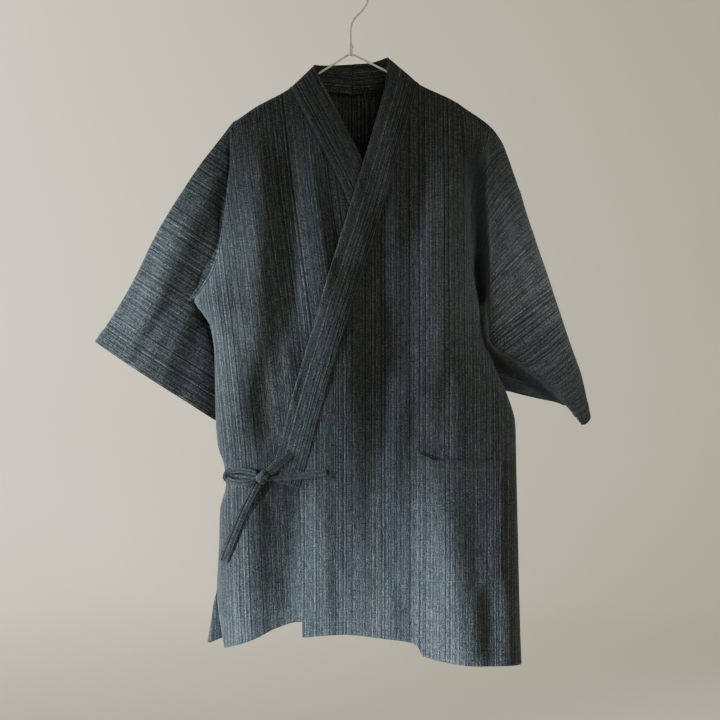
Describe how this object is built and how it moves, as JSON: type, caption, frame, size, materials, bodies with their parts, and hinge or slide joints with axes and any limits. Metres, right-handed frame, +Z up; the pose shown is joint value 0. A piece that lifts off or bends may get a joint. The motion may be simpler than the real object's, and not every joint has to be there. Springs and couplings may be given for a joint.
{
  "type": "jinbei jacket on a wire hanger",
  "caption": "Short wrap jacket of striped cotton with open sleeves, a doubled collar band, a tied bow at the side and a patch pocket, hanging on a wire hanger by its hook.",
  "frame": {"origin": "seat of the hanger's hook, where it rests on a rail, under the top of its bend", "axes": "+Z up, the jacket's front faces -Y, +X to the wearer's left, the rail runs along Y"},
  "size_m": [0.743, 0.1367, 1.0202],
  "materials": {
    "striped_cotton": "matt slubby cotton with fine uneven stripes",
    "wire": "thin satin cream coat"
  },
  "bodies": {
    "root": {"back": "striped_cotton", "back_yoke": "striped_cotton", "front_right": "striped_cotton", "overlap_right": "striped_cotton", "front_left": "striped_cotton", "overlap_left": "striped_cotton", "sleeve_right": "striped_cotton", "sleeve_left": "striped_cotton", "collar_right": "striped_cotton", "collar_left": "striped_cotton", "pocket": "striped_cotton", "tie_side": "striped_cotton", "tie_front": "striped_cotton", "tie_loop": "striped_cotton", "tie_tail_side": "striped_cotton", "tie_tail_down": "striped_cotton", "tie_knot": "striped_cotton", "hanger_arm_right": "wire", "hanger_arm_left": "wire", "hanger_hook": "wire"}
  },
  "joints": []
}
